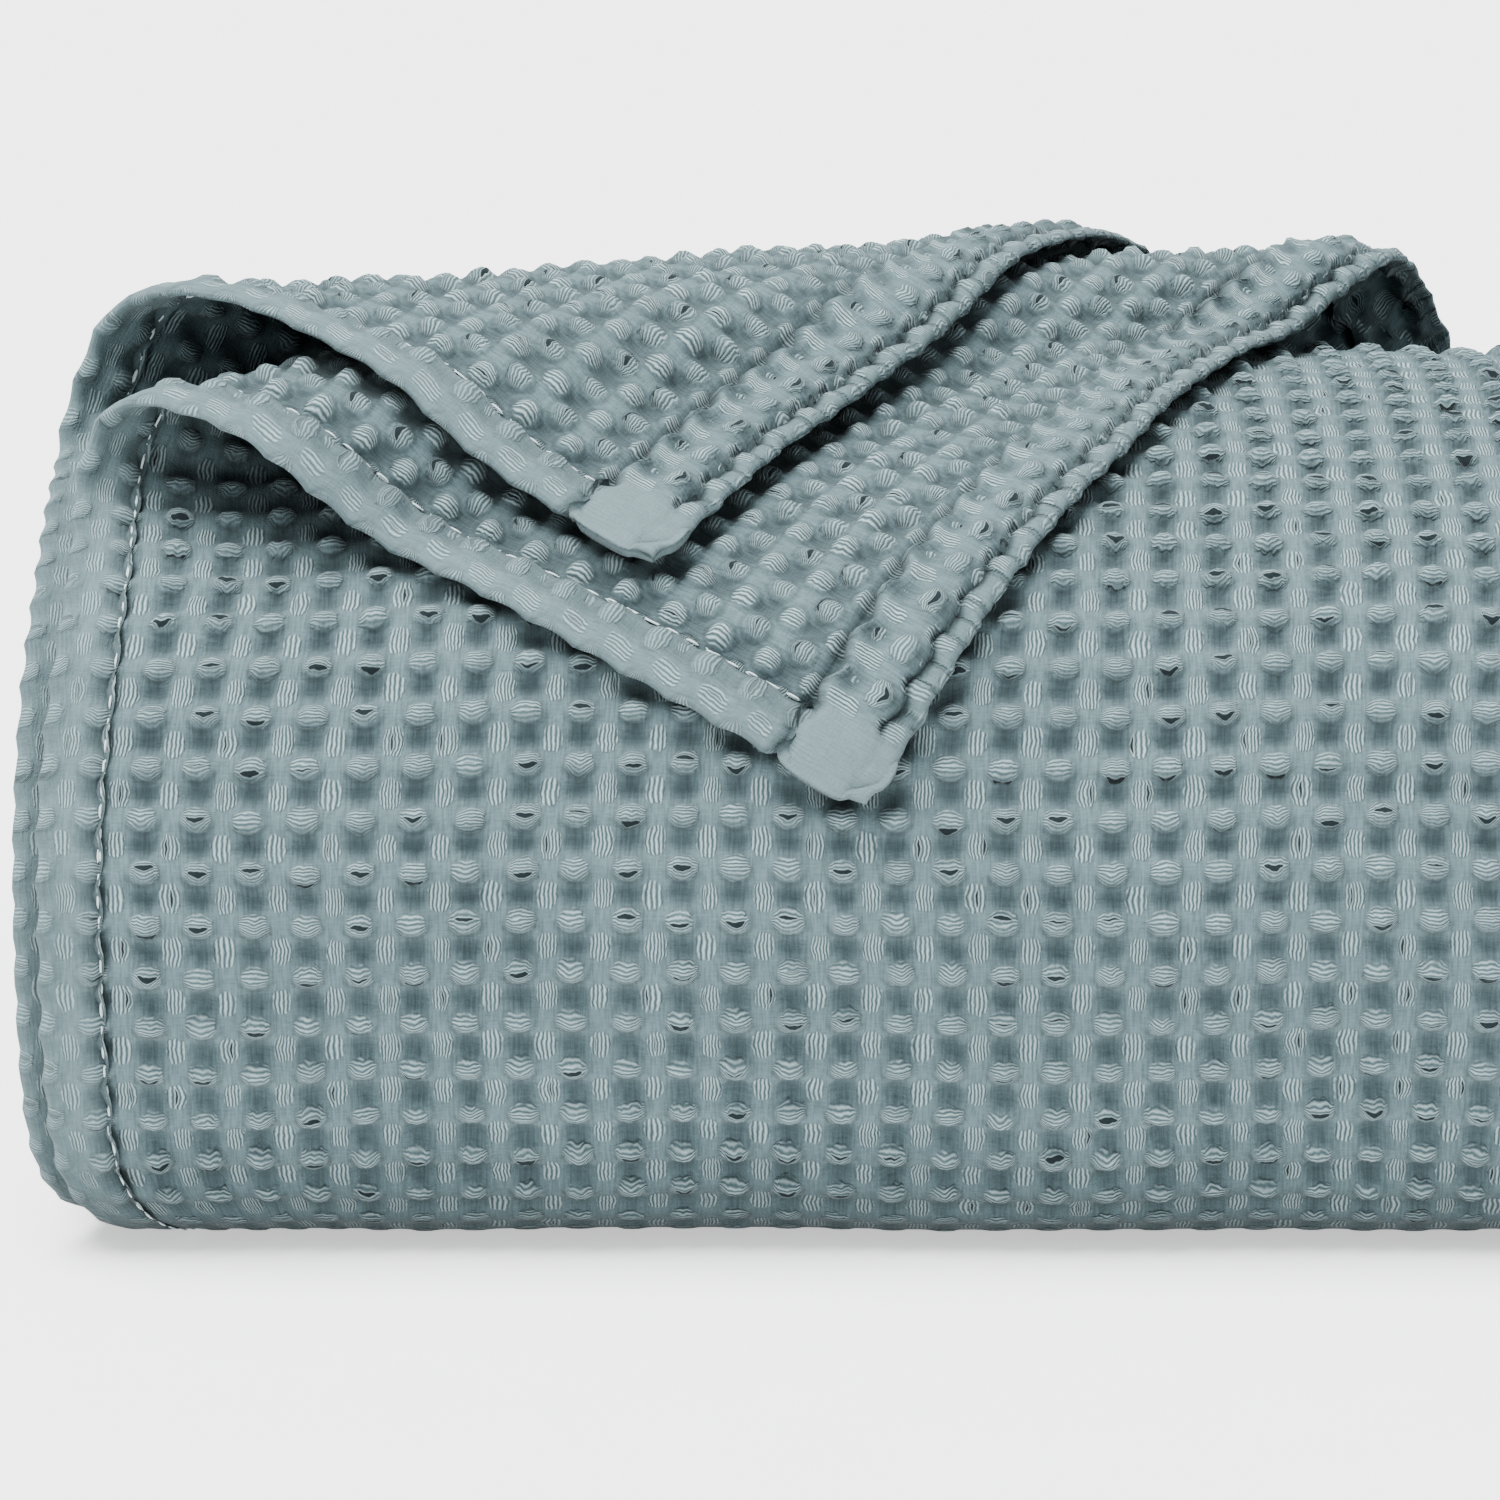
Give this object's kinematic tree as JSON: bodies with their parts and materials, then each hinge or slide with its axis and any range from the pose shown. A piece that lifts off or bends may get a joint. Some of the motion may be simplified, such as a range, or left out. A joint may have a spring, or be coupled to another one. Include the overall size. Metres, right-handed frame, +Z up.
{
  "type": "waffle weave blanket",
  "caption": "Waffle weave cotton blanket, folded in layers and rolled up, lying on its side with its free outer corners turned back over the top in soft loops.",
  "frame": {"origin": "middle of the bounding box's underside, on the surface that the roll rests on", "axes": "+X along the roll, from the end with the turned-back corners to the plain end; +Y from the front, where the turned-back corners point down, to the back; +Z up"},
  "size_m": [0.426, 0.2286, 0.1774],
  "materials": {
    "roll_cloth": "matte waffle weave cotton, dusty teal",
    "outer_cloth": "matte waffle weave cotton, dusty teal",
    "second_cloth": "matte waffle weave cotton, dusty teal"
  },
  "bodies": {
    "root": {"wound_roll": "roll_cloth", "outer_layer": "outer_cloth", "second_layer": "second_cloth"}
  },
  "joints": []
}
